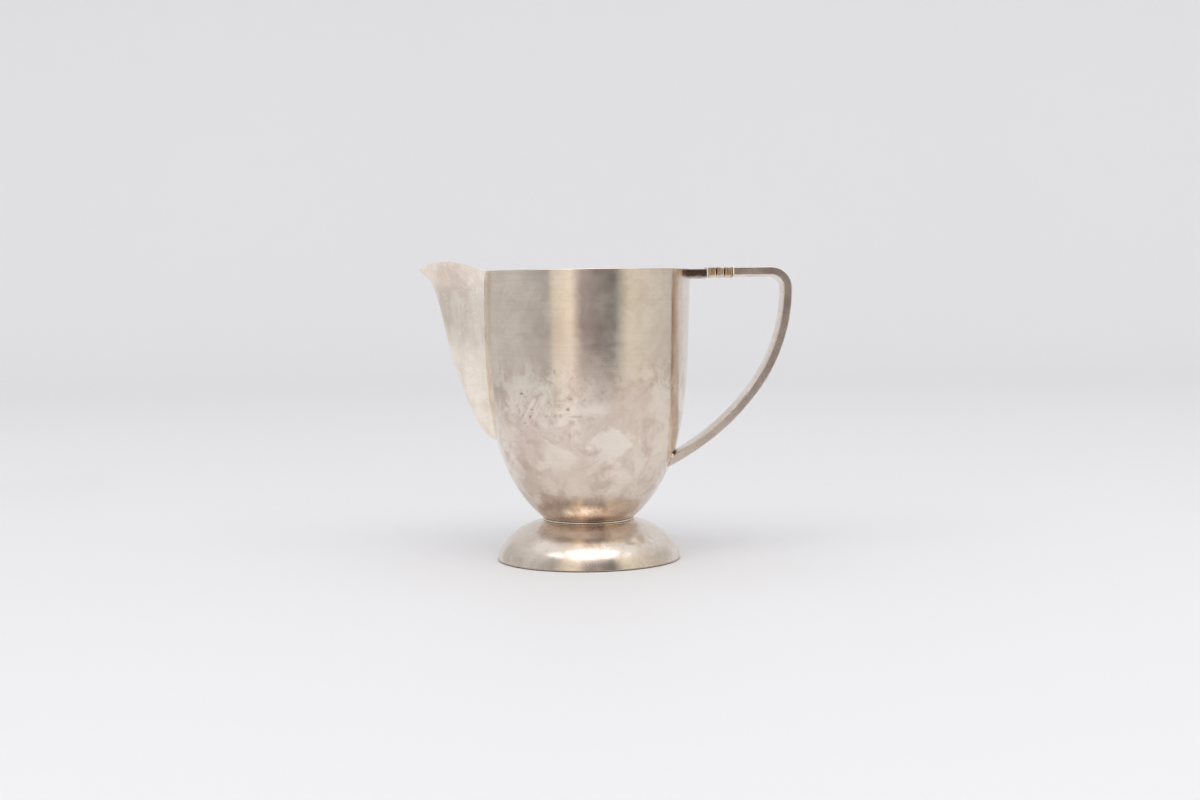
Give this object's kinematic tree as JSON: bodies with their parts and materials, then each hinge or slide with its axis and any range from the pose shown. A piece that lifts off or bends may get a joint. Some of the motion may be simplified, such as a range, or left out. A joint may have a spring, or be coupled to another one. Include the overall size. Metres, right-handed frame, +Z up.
{
  "type": "cream jug",
  "caption": "Footed cream jug: round tapering bowl with a soldered beak spout, domed foot and looped strap handle with a reeded ferrule.",
  "frame": {"origin": "centre of the foot's rest plane on the table, on the bowl's axis", "axes": "+X to the handle, -X to the spout, +Z up"},
  "size_m": [0.1153, 0.065, 0.093],
  "materials": {
    "bowl_plate": "tarnished silver plate with fine spinning lines, rosy clouding and small pits",
    "spout_plate": "tarnished silver plate, smoother than the bowl",
    "foot_plate": "silver plate, more polished than the bowl",
    "handle_plate": "brown-grey tarnished silver plate",
    "collar_plate": "bright rubbed edge of plate",
    "ferrule_bronze": "worn to warm bronze on the reeds",
    "solder": "bright soft solder with a dark edge"
  },
  "bodies": {
    "root": {"bowl": "bowl_plate", "spout": "spout_plate", "foot": "foot_plate", "neck_ring": "solder", "handle_socket": "handle_plate", "inner_collar": "collar_plate", "ferrule": "ferrule_bronze", "outer_collar": "collar_plate", "handle": "handle_plate", "heel_beads": "solder"}
  },
  "joints": []
}
